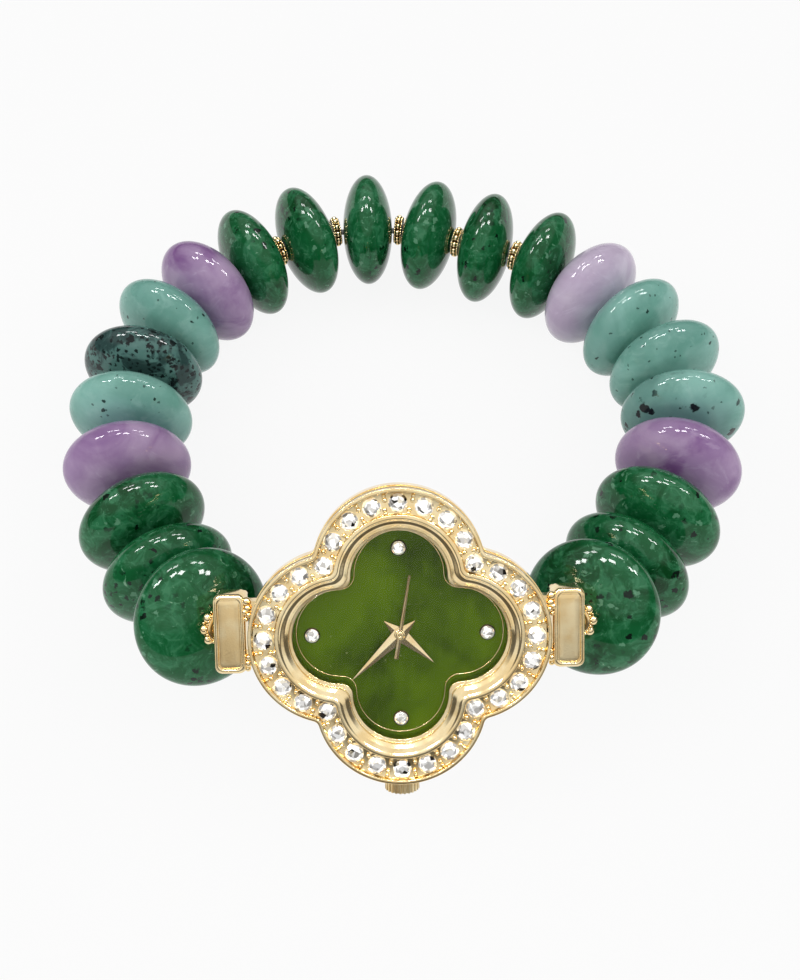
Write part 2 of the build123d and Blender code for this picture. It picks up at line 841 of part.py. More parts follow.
def make_screws():
    with BuildPart() as screws:
        for angle in screw_angles:
            post = polar(screw_circle / 2, angle)
            add_rod(post, bridge_bottom + screw_length, bridge_bottom, screw_shank)
            add_rod(post, bridge_bottom, bridge_bottom - screw_head_height, screw_head)
            with BuildSketch(at(bridge_bottom - screw_head_height)):
                with Locations(post):
                    Rectangle(screw_head, screw_slot)
            extrude(amount=screw_head_height / 2, mode=Mode.SUBTRACT)
    return screws.part


def make_battery():
    """A button cell: a can and the narrower cap of its other pole."""
    cap = battery_height * (1 - battery_cap_share)
    with BuildPart() as battery:
        add_rod(battery_place, plate_bottom - ring_clearance - cap,
                plate_bottom - ring_clearance - battery_height, battery_diameter)
        add_rod(battery_place, plate_bottom - ring_clearance, plate_bottom - ring_clearance - cap,
                battery_diameter * battery_cap_share)
    return battery.part


def make_board():
    with BuildPart() as board:
        with BuildSketch(at(board_level)):
            with Locations(board_place):
                Rectangle(board_side, board_side)
        extrude(amount=-board_thickness)
    return board.part


def make_oscillator():
    level = board_level + oscillator_diameter / 2
    start = place(board_place[0] - oscillator_length / 2, board_place[1], level)
    with BuildPart() as can:
        with BuildSketch(Plane(origin=start, z_dir=across)):
            Circle(oscillator_diameter / 2)
        extrude(amount=oscillator_length)
    return can.part


def coil_plane(reach):
    return Plane(origin=place(coil_place[0] - reach, coil_place[1], coil_level), z_dir=across)


def make_coil():
    with BuildPart() as coil:
        with BuildSketch(coil_plane(coil_length / 2)):
            Circle(coil_diameter / 2)
            Circle(core_diameter / 2, mode=Mode.SUBTRACT)
        extrude(amount=coil_length)
    return coil.part


def make_stator():
    """The iron plate round the rotor, with the coil's core."""
    core = coil_length + 2 * core_overhang
    arm_start = coil_place[0] + coil_length / 2
    with BuildPart() as stator:
        with BuildSketch(at(stator_top)):
            with Locations(rotor_place):
                Circle(stator_diameter / 2)
            with BuildLine():
                Polyline((arm_start, coil_place[1] - stator_arm / 2),
                         (rotor_place[0], rotor_place[1] - stator_diameter / 2),
                         (rotor_place[0], rotor_place[1]),
                         (arm_start, coil_place[1] + stator_arm / 2), close=True)
            make_face()
            with Locations(rotor_place):
                Circle(rotor_hole / 2, mode=Mode.SUBTRACT)
        extrude(amount=-stator_thickness)
        with BuildSketch(coil_plane(core / 2)):
            Circle(core_diameter / 2)
        extrude(amount=core)
    return stator.part


def make_crown():
    """A fluted knob with a chamfered outer rim and a pocket that the stem is fixed in."""
    base = crown_tip - crown_length
    with BuildPart() as crown:
        with BuildSketch(crown_plane(base)):
            Circle(crown_diameter / 2)
            with PolarLocations(crown_diameter / 2, flute_count):
                Circle(flute_diameter / 2, mode=Mode.SUBTRACT)
        extrude(amount=crown_length)
        with BuildSketch(crown_plane(base)):
            Circle(stem_diameter / 2)
        extrude(amount=crown_length / 2, mode=Mode.SUBTRACT)
    return crown.part


def make_stem():
    with BuildPart() as stem:
        with BuildSketch(crown_plane(stem_inner)):
            Circle(stem_diameter / 2)
        extrude(amount=crown_tip - crown_length / 2 - stem_inner)
    return stem.part


def make_crown_gasket():
    with BuildPart() as gasket:
        with BuildSketch(crown_plane(case_half - crown_gasket_inset - crown_gasket_length - pull_room)):
            Circle(gasket_outer / 2 - gasket_clearance)
            Circle(stem_diameter / 2 + gasket_clearance, mode=Mode.SUBTRACT)
        extrude(amount=crown_gasket_length)
    return gasket.part


for k, name in enumerate(names):
    save(make_bead(k), name)
for k, (centre, way) in enumerate(spacers[:-2]):
    save(make_spacer(centre, way, spacer_thickness), f"spacer_back_{k + 1}")
for side, (centre, way) in zip(("left", "right"), spacers[-2:]):
    save(make_spacer(centre, way, end_spacer_thickness), f"spacer_{side}_end")
save(make_cord(), "elastic_cord")
save(make_case(), "case_middle")
save(make_bezel(), "bezel")
save(make_stones(stone_places(), channel_floor - seat_depth, stone_diameter), "bezel_stones")
save(make_crystal(), "crystal")
save(make_dial(), "dial")
save(make_stones([polar(marker_circle, 90 * k) for k in range(4)], dial_top - marker_seat, marker_diameter),
     "dial_stones")
save(make_back(), "case_back")
save(ring_of(case_bottom + gasket_depth, 2 * gasket_outer_radius,
             2 * (gasket_outer_radius - gasket_width), gasket_depth), "case_back_gasket")
save(make_ring(), "movement_ring")
save(make_plate(), "main_plate")
save(make_bridge(), "train_bridge")
save(make_screws(), "movement_screws")
save(make_battery(), "battery_cell")
save(make_board(), "circuit_board")
save(make_oscillator(), "quartz_oscillator")
save(make_coil(), "coil_winding")
save(make_stator(), "stator")
save(make_rotor(), "rotor")
save(make_intermediate(), "intermediate_wheel")
save(make_seconds_wheel(), "seconds_wheel")
save(make_third_wheel(), "third_wheel")
save(make_centre_wheel(), "centre_wheel")
save(make_minute_wheel(), "minute_wheel")
save(make_hour_wheel(), "hour_wheel")
save(make_hand(hour_angle, hour_reach, hour_width, hour_hub, hour_level, hour_arbor), "hour_hand")
save(make_hand(minute_angle, minute_reach, minute_width, minute_hub, minute_level, minute_arbor), "minute_hand")
save(make_hand(seconds_angle, seconds_reach, seconds_width, seconds_hub, seconds_level, seconds_arbor),
     "seconds_hand")
save(make_crown(), "crown")
save(make_stem(), "stem")
save(make_crown_gasket(), "crown_gasket")

print("head middle", head, "across", across, "out", out)
print("bend share", round(bend, 4))
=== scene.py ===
"""A bead watch band: stone discs on elastic, closed by a four-lobed gold watch set with clear stones."""

import json
from math import atan2, cos, hypot, pi, radians, sin, sqrt

import bmesh
import bpy
from mathutils import Matrix, Vector


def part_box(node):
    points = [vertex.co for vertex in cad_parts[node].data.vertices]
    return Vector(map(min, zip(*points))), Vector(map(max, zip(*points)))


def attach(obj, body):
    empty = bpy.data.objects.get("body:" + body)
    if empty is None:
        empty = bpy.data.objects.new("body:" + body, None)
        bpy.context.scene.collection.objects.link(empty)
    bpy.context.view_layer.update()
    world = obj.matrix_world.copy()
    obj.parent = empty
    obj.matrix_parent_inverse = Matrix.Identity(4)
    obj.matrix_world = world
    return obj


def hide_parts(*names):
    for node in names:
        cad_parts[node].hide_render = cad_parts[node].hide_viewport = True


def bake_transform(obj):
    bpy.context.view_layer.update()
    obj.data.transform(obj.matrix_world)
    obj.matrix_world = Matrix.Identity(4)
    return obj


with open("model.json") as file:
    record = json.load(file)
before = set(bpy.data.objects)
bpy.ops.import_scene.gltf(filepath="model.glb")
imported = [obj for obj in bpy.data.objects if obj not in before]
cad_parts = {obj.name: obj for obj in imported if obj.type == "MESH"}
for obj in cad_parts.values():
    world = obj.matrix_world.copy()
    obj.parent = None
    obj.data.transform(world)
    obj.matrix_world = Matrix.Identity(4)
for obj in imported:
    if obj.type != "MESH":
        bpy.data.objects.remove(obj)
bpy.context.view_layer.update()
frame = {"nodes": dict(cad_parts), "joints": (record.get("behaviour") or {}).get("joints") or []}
MM = 0.001


def joint_line(name):
    """A joint's point in mm and its direction."""
    joint = next(found for found in frame["joints"] if found["name"] == name)
    return Vector(joint.get("pos_m") or (0, 0, 0)) / MM, Vector(joint["axis"]).normalized()


def middle(node):
    low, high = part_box(node)
    return (low + high) / 2 / MM


# The watch head's own axes: along the lugs, up the dial's slope and out of the dial
HEAD, OUT = joint_line("minute_turn")
ACROSS = (-joint_line("crown_turn")[1]).cross(OUT).normalized()
UP = OUT.cross(ACROSS)
HEAD_PLACE = Matrix.Translation(HEAD) @ Matrix((ACROSS, UP, OUT)).transposed().to_4x4()

# The head's sizes in mm: its outline, its opening, its levels above the dial, its lips and its stones, which
# lie STONE_STEP degrees apart round each lobe
LOBE_OFFSET, LOBE_RADIUS, NOTCH = 6.9, 9.1, 0.8
OPENING_OFFSET, OPENING_NOTCH, OPENING_RADIUS, SEAT_RADIUS = 6.3, 1.3, 5.47, 5.1
BEZEL_SEAT, CRYSTAL_SEAT, CHANNEL_FLOOR, LIP_FOOT, INNER_TOP, BEZEL_TOP = 0.4, 1.2, 1.55, 1.78, 2.32, 2.4
SLOPE_FOOT = 1.72
LIP_WIDTH, INNER_LIP, STONE_STEP = 0.35, 6.9, 20.3
BEZEL_STONE_RADIUS, BEZEL_GIRDLE = 1.0, 1.95
DIAL_STONE_RADIUS, DIAL_GIRDLE, DIAL_STONE_REACH = 0.74, 0.40, 9.35
LUG_WIDTH, LUG_HEIGHT, LUG_CORNER, LUG_CENTRE = 3.5, 8.8, 0.85, 18.27
# Grains in the corners between the bezel and a lug block: along the lugs, up the dial, out of it, radius
NECK_GRAINS = (
    (16.35, 3.55, -0.95, 0.50), (16.25, 2.85, -0.80, 0.42), (16.55, 2.45, -0.75, 0.34),
    (16.15, 2.15, -0.70, 0.32), (16.45, 1.65, -0.80, 0.28), (16.30, -2.6, -0.85, 0.36),
    (16.35, -3.3, -0.95, 0.44), (16.45, -3.9, -1.1, 0.34),
)
# The floor's whiteness to the camera, and how strongly the stones mirror
FLOOR_GLOW = 0.9
STONE_GLOSS = 0.28

# The string from the left lug round the back to the right one: each stone disc, its kind, its heading in plan
BEADS = (
    ("bead_left_1", "green", 132.5), ("bead_left_2", "green", 117.0), ("bead_left_3", "green", 118.0),
    ("bead_left_4", "lilac", 100.0), ("bead_left_5", "teal", 86.5), ("bead_left_6", "speckled", 82.5),
    ("bead_left_7", "teal", 60.0), ("bead_left_8", "lilac", 51.5),
    ("bead_back_1", "slim", 34.0), ("bead_back_2", "slim", 27.0), ("bead_back_3", "slim", 1.5),
    ("bead_back_4", "slim", -17.0), ("bead_back_5", "slim", -18.0), ("bead_back_6", "slim", -29.5),
    ("bead_right_8", "pale_lilac", -50.0), ("bead_right_7", "teal", -55.0), ("bead_right_6", "teal", -68.5),
    ("bead_right_5", "blotched", -92.5), ("bead_right_4", "lilac", -108.5), ("bead_right_3", "green", -119.5),
    ("bead_right_2", "green", -124.5), ("bead_right_1", "green", -125.5),
)
BEND, END_RISE = 1.0129, 37.0
BEAD_WIDTH, BEAD_BORE = 16.0, 1.8
BEAD_THICKNESS = {"green": 8.2, "lilac": 8.7, "pale_lilac": 8.7, "teal": 7.7, "speckled": 7.7, "blotched": 7.7,
                  "slim": 7.4}
SPACER_THICKNESS, SPACER_BORE = 1.1, 1.5

# The elastic's route in mm: a knot in the left lug block, the mouths, the corners between beads, the right knot
CORD_DIAMETER = 0.8
CORD_ROUTE = [
    (-18.66, -32.31, 15.47), (-19.98, -31.67, 14.74), (-26.21, -25.26, 8.0), (-30.62, -17.14, 8.0),
    (-34.82, -9.73, 8.0), (-36.6, -0.8, 8.0), (-36.27, 7.14, 8.0), (-35.36, 15.25, 8.0), (-31.36, 22.39, 8.0),
    (-25.82, 29.53, 8.0), (-18.85, 34.31, 8.0), (-10.58, 38.59, 8.0), (-1.07, 38.84, 8.0), (7.6, 36.15, 8.0),
    (16.1, 33.35, 8.0), (23.56, 29.07, 8.0), (29.32, 22.05, 8.0), (33.8, 15.48, 8.0), (36.72, 7.7, 8.0),
    (36.18, -0.63, 8.0), (33.11, -9.13, 8.0), (28.77, -16.33, 8.0), (23.39, -23.71, 8.0),
    (18.05, -30.76, 14.67), (16.77, -31.46, 15.4),
]


class Field:
    """A value that varies over a surface, written with ordinary sums."""

    def __init__(self, finish, socket):
        self.finish = finish
        self.socket = socket

    def maths(self, operation, *values, clamp=False):
        return self.finish.node("Math", {"operation": operation, "use_clamp": clamp}, values)

    def __add__(self, other):
        return self.maths("ADD", self, other)

    __radd__ = __add__

    def __sub__(self, other):
        return self.maths("SUBTRACT", self, other)

    def __rsub__(self, other):
        return self.maths("SUBTRACT", other, self)

    def __mul__(self, other):
        return self.maths("MULTIPLY", self, other)

    __rmul__ = __mul__

    def __pow__(self, other):
        return self.maths("POWER", self, other)

    def thread(self, low, high):
        """Thin lines where the value passes its middle."""
        return (self - 0.5).maths("ABSOLUTE").below(low, high)

    def clamped(self):
        return self.maths("ADD", self, 0.0, clamp=True)

    def above(self, low, high):
        """0 below low, 1 above high, smooth between."""
        return self.finish.node("MapRange", {"interpolation_type": "SMOOTHSTEP"},
                                {"Value": self, "From Min": low, "From Max": high})

    def below(self, low, high):
        return 1 - self.above(low, high)


def socket_name(word):
    return word.replace("_", " ").title().replace("Ior", "IOR")


class Nodes:
    """A node tree whose nodes are added one call at a time."""

    def __init__(self, tree):
        self.tree = tree
        tree.nodes.clear()

    def give(self, socket, value):
        if isinstance(value, Field):
            self.tree.links.new(value.socket, socket)
        elif socket.type == "RGBA" and len(value) == 3:
            socket.default_value = (*value, 1)
        else:
            socket.default_value = value

    def node(self, kind, settings, inputs, output=0):
        """Adds a node: its settings first, then the values or links of its sockets."""
        node = self.tree.nodes.new("ShaderNode" + kind)
        for name, value in settings.items():
            if name == "stops":
                ramp = node.color_ramp
                while len(ramp.elements) < len(value):
                    ramp.elements.new(0.5)
                for element, (position, colour) in zip(ramp.elements, value):
                    element.position = position
                    element.color = (*colour, 1)
            else:
                setattr(node, name, value)
        pairs = inputs.items() if isinstance(inputs, dict) else enumerate(inputs)
        for name, value in pairs:
            self.give(node.inputs[name], value)
        return Field(self, node.outputs[output])

    def channel(self, colour, part):
        return self.node("SeparateColor", {}, {"Color": colour}, part)

    def axis(self, vector, part):
        return self.node("SeparateXYZ", {}, {"Vector": vector}, part)

    def rays(self, kind):
        """1 for the rays of one kind, 0 for the others."""
        return self.node("LightPath", {}, {}, f"Is {kind} Ray")

    def mix(self, share, first, second):
        """A colour between two, by a share from 0 to 1."""
        return self.node("Mix", {"data_type": "RGBA", "clamp_factor": True}, {0: share, 6: first, 7: second}, 2)


class Finish(Nodes):
    """A material of one main shader, laid out over the object's own coordinates."""

    def __init__(self, name, **shader):
        self.material = bpy.data.materials.new(name)
        self.material.use_nodes = True
        super().__init__(self.material.node_tree)
        self.end = self.tree.nodes.new("ShaderNodeOutputMaterial")
        self.shader = self.tree.nodes.new("ShaderNodeBsdfPrincipled")
        self.tree.links.new(self.shader.outputs[0], self.end.inputs["Surface"])
        self.set(**shader)
        self.place = self.node("TexCoord", {}, {}, "Object")

    def scaled(self, scale, turn=(0, 0, 0), shift=(0, 0, 0)):
        size = (scale, scale, scale) if isinstance(scale, (int, float)) else scale
        return self.node("Mapping", {}, {"Vector": self.place, "Scale": size, "Rotation": turn,
                                         "Location": shift})

    def noise(self, scale, detail=3.0, roughness=0.5, distortion=0.0, turn=(0, 0, 0), shift=(0, 0, 0)):
        return self.node("TexNoise", {}, {"Vector": self.scaled(scale, turn, shift), "Scale": 1.0,
                                          "Detail": detail, "Roughness": roughness, "Distortion": distortion})

    def cells(self, scale, feature="F1", output="Distance", shift=(0, 0, 0), warp=None):
        place = self.scaled(scale, shift=shift)
        if warp is not None:
            place = self.node("VectorMath", {"operation": "ADD"}, [place, warp])
        return self.node("TexVoronoi", {"feature": feature}, {"Vector": place, "Scale": 1.0}, output)

    def ramp(self, value, stops):
        return self.node("ValToRGB", {"stops": stops}, {"Fac": value}, "Color")

    def bump(self, height, strength, distance):
        return self.node("Bump", {}, {"Height": height, "Strength": strength, "Distance": distance}, "Normal")

    def set(self, **sockets):
        for name, value in sockets.items():
            self.give(self.shader.inputs[socket_name(name)], value)
        return self.material


def specks(f, scale, size, density, shift=(0, 0, 0), ragged=0.5):
    """Small irregular grains: the middles of some of a Voronoi pattern's cells."""
    wobble = f.noise(scale * 2.3, 2.0, shift=shift)
    distance = f.cells(scale, shift=shift)
    chosen = f.channel(f.cells(scale, output="Color", shift=shift), "Red")
    rim = distance + (wobble - 0.5) * ragged
    return rim.below(size * 0.6, size) * chosen.below(density - 0.02, density + 0.02)


def green_stone(name, slim):
    """Deep green stone: broad clouds, lighter mottling, a fine web, pale flecks and crowds of black grains."""
    f = Finish(name, ior=1.5, specular_ior_level=STONE_GLOSS)
    clouds = f.noise(105, 3.0, 0.55, 0.5, shift=(0, 0, 4 * slim))
    mottle = f.noise(430, 6.0, 0.68, 0.9, shift=(3, 1, 2))
    deep, middle_tone, fresh = (0.0008, 0.052, 0.010), (0.005, 0.105, 0.029), (0.030, 0.190, 0.080)
    colour = f.mix(clouds.above(0.32, 0.52), deep, middle_tone)
    colour = f.mix(mottle.above(0.42, 0.64) * 0.80, colour, fresh)
    web = f.cells(560, feature="DISTANCE_TO_EDGE", shift=(1, 5, 2),
                  warp=f.node("TexNoise", {}, {"Vector": f.scaled(420), "Scale": 1.0}, "Color"))
    colour = f.mix(web.below(0.02, 0.10) * mottle.above(0.45, 0.6) * 0.35, colour, (0.070, 0.270, 0.130))
    pale = f.noise(520, 4.0, 0.66, 2.2, shift=(7, 3, 5))
    colour = f.mix(pale.above(0.60, 0.68) * 0.65, colour, (0.095, 0.310, 0.165))
    colour = f.mix(pale.above(0.68, 0.72) * 0.7, colour, (0.30, 0.50, 0.34))
    colour = f.mix(specks(f, 760, 0.32, 0.20, (4, 4, 4), 1.2) * 0.55, colour, (0.18, 0.42, 0.26))
    scratch = f.noise((260, 700, 260), 3.0, 0.6, 3.0, turn=(0.4, 0.2, 0.9), shift=(9, 3, 5))
    colour = f.mix(scratch.thread(0.001, 0.008) * mottle.above(0.46, 0.6) * 0.5, colour, (0.12, 0.36, 0.20))
    crowd = f.noise(130, 2.0, shift=(2, 8, 4)).above(0.48, 0.62)
    colour = f.mix(specks(f, 1100, 0.44, 0.36, (1, 7, 9), 1.1) * crowd * 0.92, colour, (0.0008, 0.008, 0.004))
    colour = f.mix(specks(f, 620, 0.26, 0.13, (6, 1, 3), 1.3) * 0.95, colour, (0.0008, 0.005, 0.003))
    return f.set(base_color=colour, roughness=0.03 + 0.03 * mottle,
                 normal=f.bump(f.noise(1400, 2.0), 0.03, 0.00002))


def lilac_stone(name, pale):
    """Clouded lilac stone: soft darker patches, pale wisps and curved healed cracks."""
    f = Finish(name, ior=1.5, specular_ior_level=STONE_GLOSS)
    clouds = f.noise(150, 5.0, 0.58, 0.8)
    smoke = f.noise((75, 75, 105), 4.0, 0.55, 1.0, turn=(0.5, 0.3, 0.8), shift=(2, 2, 0))
    light = (0.68, 0.59, 0.73) if pale else (0.45, 0.32, 0.50)
    ground = (0.54, 0.45, 0.59) if pale else (0.34, 0.215, 0.40)
    dark = (0.41, 0.28, 0.47) if pale else (0.20, 0.075, 0.26)
    vein = (0.33, 0.20, 0.39) if pale else (0.125, 0.035, 0.175)
    colour = f.mix(clouds.above(0.36, 0.64), ground, light)
    colour = f.mix(smoke.above(0.46, 0.68) * (0.5 if pale else 0.85), colour, dark)
    cracks = (((190, 190, 80), 0.75), ((90, 240, 200), 0.6), ((420, 300, 200), 0.4))
    for k, (scale, strength) in enumerate(cracks):
        crack = f.noise(scale, 3.0, 0.55, 2.6, turn=(0.9, 0.2 + k, 0.4), shift=(1, 4, k))
        line = crack.thread(0.005, 0.024) * clouds.above(0.36 + 0.03 * k, 0.46)
        colour = f.mix(line * strength * (0.6 if pale else 1.0), colour, vein)
    wisp = f.noise((140, 480, 220), 4.0, 0.6, 1.8, turn=(0.2, 0.9, 0.4)).above(0.56, 0.72)
    colour = f.mix(wisp * (0.4 if pale else 0.2), colour, (0.74, 0.64, 0.80))
    return f.set(base_color=colour, roughness=0.04 + 0.03 * clouds,
                 normal=f.bump(f.noise(1300, 2.0), 0.03, 0.00002))


def teal_stone(name, crowd_at=None, blotched=False):
    """Hazy blue-green stone with scattered black grains, and crowds of them at both ends or a few blotches."""
    f = Finish(name, ior=1.5, specular_ior_level=STONE_GLOSS)
    clouds = f.noise(130, 5.0, 0.58, 0.6)
    fine = f.noise(560, 5.0, 0.62, 0.5)
    greyed = crowd_at is not None or blotched
    colour = f.mix(clouds.above(0.36, 0.64), (0.170, 0.400, 0.330), (0.260, 0.520, 0.450))
    colour = f.mix(fine.above(0.50, 0.70) * 0.4, colour, (0.35, 0.60, 0.53))
    shade = f.noise(85, 3.0, 0.5, 0.5, shift=(4, 1, 1)).above(0.44, 0.62)
    colour = f.mix(shade * (0.65 if greyed else 0.25), colour, (0.115, 0.255, 0.225))
    colour = f.mix(specks(f, 620, 0.17, 0.22, (2, 6, 3), 0.7) * 0.9, colour, (0.004, 0.012, 0.010))
    colour = f.mix(specks(f, 1200, 0.24, 0.14, (7, 6, 3), 0.7) * 0.7, colour, (0.012, 0.035, 0.03))
    if crowd_at is not None:
        off = (f.axis(f.place, "X") - crowd_at).maths("ABSOLUTE")
        ends = (off + (clouds - 0.5) * 0.006).above(0.0016, 0.0046)
        colour = f.mix(ends * 0.7, colour, (0.060, 0.125, 0.120))
        mass = f.noise(260, 4.0, 0.6, 1.0, shift=(3, 3, 8)).above(0.46, 0.58)
        colour = f.mix(ends * mass * 0.8, colour, (0.012, 0.030, 0.030))
        colour = f.mix(ends * specks(f, 1500, 0.50, 0.55, (1, 2, 8), 1.0) * 0.95, colour, (0.003, 0.008, 0.008))
        colour = f.mix(ends * specks(f, 800, 0.46, 0.38, (5, 2, 8), 1.3) * 0.95, colour, (0.003, 0.007, 0.007))
    if blotched:
        colour = f.mix(specks(f, 330, 0.26, 0.26, (4, 2, 2), 1.0) * 0.97, colour, (0.002, 0.005, 0.006))
        colour = f.mix(specks(f, 800, 0.40, 0.30, (3, 5, 1), 1.1) * shade, colour, (0.004, 0.010, 0.012))
    return f.set(base_color=colour, roughness=0.04 + 0.03 * fine,
                 normal=f.bump(f.noise(1300, 2.0), 0.03, 0.00002))


def gold(name, roughness, satin=0.0):
    """Pale yellow plating: bright and gently uneven, finer-grained where it is satin."""
    f = Finish(name, metallic=1.0, ior=1.45)
    tone = f.noise(420, 3.0, 0.5)
    peel = f.noise(5200 if satin else 1100, 3.0, 0.6)
    colour = f.mix(tone.above(0.35, 0.68), (0.86, 0.64, 0.32), (0.95, 0.79, 0.48))
    return f.set(base_color=colour, roughness=roughness + 0.08 * tone + satin * 0.15,
                 normal=f.bump(peel, 0.25 + 0.3 * satin, 0.00004))


def metal(name, tone, roughness):
    """Metal with fine brushed lines."""
    f = Finish(name, metallic=1.0)
    lines = f.noise((2200, 160, 160), 3.0, 0.6)
    dark = tuple(part * 0.8 for part in tone)
    return f.set(base_color=f.mix(lines, dark, tone), roughness=roughness + 0.12 * lines,
                 normal=f.bump(lines, 0.12, 0.00001))


def plain(name, tone, roughness, scale=900, depth=0.15):
    """A moulded or woven surface: faint mottling and grain."""
    f = Finish(name)
    grain = f.noise(scale, 4.0, 0.6)
    dark = tuple(part * 0.82 for part in tone)
    return f.set(base_color=f.mix(grain, dark, tone), roughness=roughness + 0.15 * grain,
                 normal=f.bump(grain, depth, 0.00003))


def shell_dial(name):
    """Green mother of pearl: silky rays, a broad darker corner and fine pale scratches."""
    f = Finish(name, ior=1.5, specular_ior_level=0.12)
    broad = f.noise((95, 70, 95), 3.0, 0.5, 0.6, turn=(0, 0, 0.5), shift=(1.3, 0.4, 0.2))
    silk = f.noise((1300, 150, 700), 3.0, 0.55, 0.5, turn=(0, 0, 0.85))
    rays = f.noise((260, 90, 200), 2.0, 0.5, 0.8, turn=(0, 0, -0.5), shift=(2, 1, 0))
    colour = f.ramp(broad + (rays - 0.5) * 0.35, [(0.30, (0.026, 0.052, 0.0)), (0.44, (0.060, 0.116, 0.0)),
                                                  (0.58, (0.086, 0.160, 0.0)), (0.78, (0.11, 0.195, 0.001))])
    colour = f.mix(silk.above(0.55, 0.75) * 0.22, colour, (0.15, 0.25, 0.01))
    scratch = f.noise((520, 90, 300), 4.0, 0.6, 2.4, turn=(0, 0, 1.2), shift=(5, 2, 1))
    colour = f.mix(scratch.thread(0.0005, 0.004) * rays.above(0.48, 0.6) * 0.5, colour, (0.32, 0.42, 0.14))
    colour = f.mix(specks(f, 1200, 0.14, 0.10, (3, 3, 1), 0.2) * 0.5, colour, (0.35, 0.42, 0.15))
    return f.set(base_color=colour, roughness=0.32 + 0.12 * silk, normal=f.bump(silk, 0.04, 0.00002))


def watch_glass(name):
    """Thin clear crystal: see-through, with a faint mirror that grows as it is seen more from the side."""
    f = Finish(name, metallic=1.0, roughness=0.02)
    facing = f.node("LayerWeight", {}, {"Blend": 0.5}, "Facing")
    return f.set(base_color=f.mix(f.noise(300, 1.0), (0.97, 0.98, 0.97), (1.0, 1.0, 1.0)),
                 alpha=facing ** 4 * 0.5 + 0.006)


def painted_sparkle_stone_face(name):
    """A foiled cut stone: mirror facets with painted reflection, bright, some grey, few dark, a few painted
    with the setting's gold, all glowing faintly as painted sparkle.
    """
    f = Finish(name, metallic=1.0, roughness=0.05)
    # Each facet's brightness is picked at random: painted reflection, not the stone's own colour.
    painted_facet_reflection = f.channel(f.cells(2100, output="Color"), "Red")
    # glow picks a few facets to tint gold: a painted reflection of the setting.
    glow = f.channel(f.cells(2600, output="Color", shift=(3, 1, 2)), "Green")
    colour = f.ramp(painted_facet_reflection, [(0.03, (0.02, 0.018, 0.015)), (0.06, (0.42, 0.40, 0.37)), (0.34, (0.70, 0.68, 0.65)),
                           (0.46, (1.0, 0.99, 0.97))])
    colour = f.mix(glow.above(0.84, 0.88) * 0.4, colour, (0.86, 0.76, 0.55))
    # The facets glow at their own colour: painted sparkle from a part that is no lamp.
    return f.set(base_color=colour, emission_color=colour, emission_strength=0.34)


STONE = {
    "green": green_stone("deep_green_stone", False),
    "slim": green_stone("deep_green_stone_slim", True),
    "lilac": lilac_stone("clouded_lilac_stone", False),
    "pale_lilac": lilac_stone("pale_lilac_stone", True),
    "teal": teal_stone("soft_teal_stone"),
    "speckled": teal_stone("speckled_teal_stone", crowd_at=middle("bead_left_6").x * MM),
    "blotched": teal_stone("blotched_teal_stone", blotched=True),
}
POLISHED_GOLD = gold("polished_pale_gold", 0.10)
SATIN_GOLD = gold("satin_pale_gold", 0.20, satin=0.5)
HAND_GOLD = gold("hand_gold", 0.16)
DIAL = shell_dial("green_mother_of_pearl")
CRYSTAL = watch_glass("watch_crystal")
PAINTED_SPARKLE_STONE = painted_sparkle_stone_face("painted_sparkle_cut_stone")
# Near-black metal standing in for shade: painted shade in the stones' seats and in the back spacers' cores.
PAINTED_SHADE_METAL = metal("painted_shade_dark_metal", (0.055, 0.035, 0.016), 0.4)
STEEL = metal("brushed_steel", (0.58, 0.58, 0.60), 0.26)
BRASS = metal("movement_brass", (0.72, 0.52, 0.24), 0.28)
COPPER = metal("enamelled_copper", (0.70, 0.30, 0.14), 0.3)
ELASTIC = plain("pale_elastic", (0.62, 0.62, 0.58), 0.5, 2600, 0.5)
PLASTIC = plain("moulded_plastic", (0.70, 0.70, 0.67), 0.5)
BOARD = plain("green_laminate", (0.02, 0.10, 0.04), 0.45)
SEAL = plain("black_rubber", (0.012, 0.012, 0.012), 0.55)


def finished(bm, name, material, place, body, smooth=True, replaces=()):
    """Turns a bmesh into a piece of the object: placed, shaded, and riding on its body."""
    bmesh.ops.transform(bm, matrix=place, verts=bm.verts)
    bmesh.ops.scale(bm, vec=(MM, MM, MM), verts=bm.verts)
    mesh = bpy.data.meshes.new(name)
    bm.to_mesh(mesh)
    bm.free()
    for face in mesh.polygons:
        face.use_smooth = smooth
    piece = bpy.data.objects.new(name, mesh)
    bpy.context.scene.collection.objects.link(piece)
    mesh.materials.append(material)
    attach(piece, body)
    if replaces:
        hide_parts(*replaces)
    return piece


def string_place(node, heading, rise):
    """A frame at a node's middle whose own z runs along the string."""
    turn = Matrix.Rotation(radians(BEND * heading), 4, "Z") @ Matrix.Rotation(radians(90 - rise), 4, "Y")
    return Matrix.Translation(middle(node)) @ turn


def spun(bm, outline, steps):
    """Spins a closed (radius, height) outline round its own z."""
    rings = [bm.verts.new((r, 0, h)) for r, h in outline]
    edges = [bm.edges.new(pair) for pair in zip(rings, rings[1:] + rings[:1])]
    bmesh.ops.spin(bm, geom=rings + edges, axis=(0, 0, 1), cent=(0, 0, 0), angle=2 * pi, steps=steps,
                   use_merge=True)
    bmesh.ops.remove_doubles(bm, verts=bm.verts, dist=0.0001)
    bmesh.ops.recalc_face_normals(bm, faces=bm.faces)


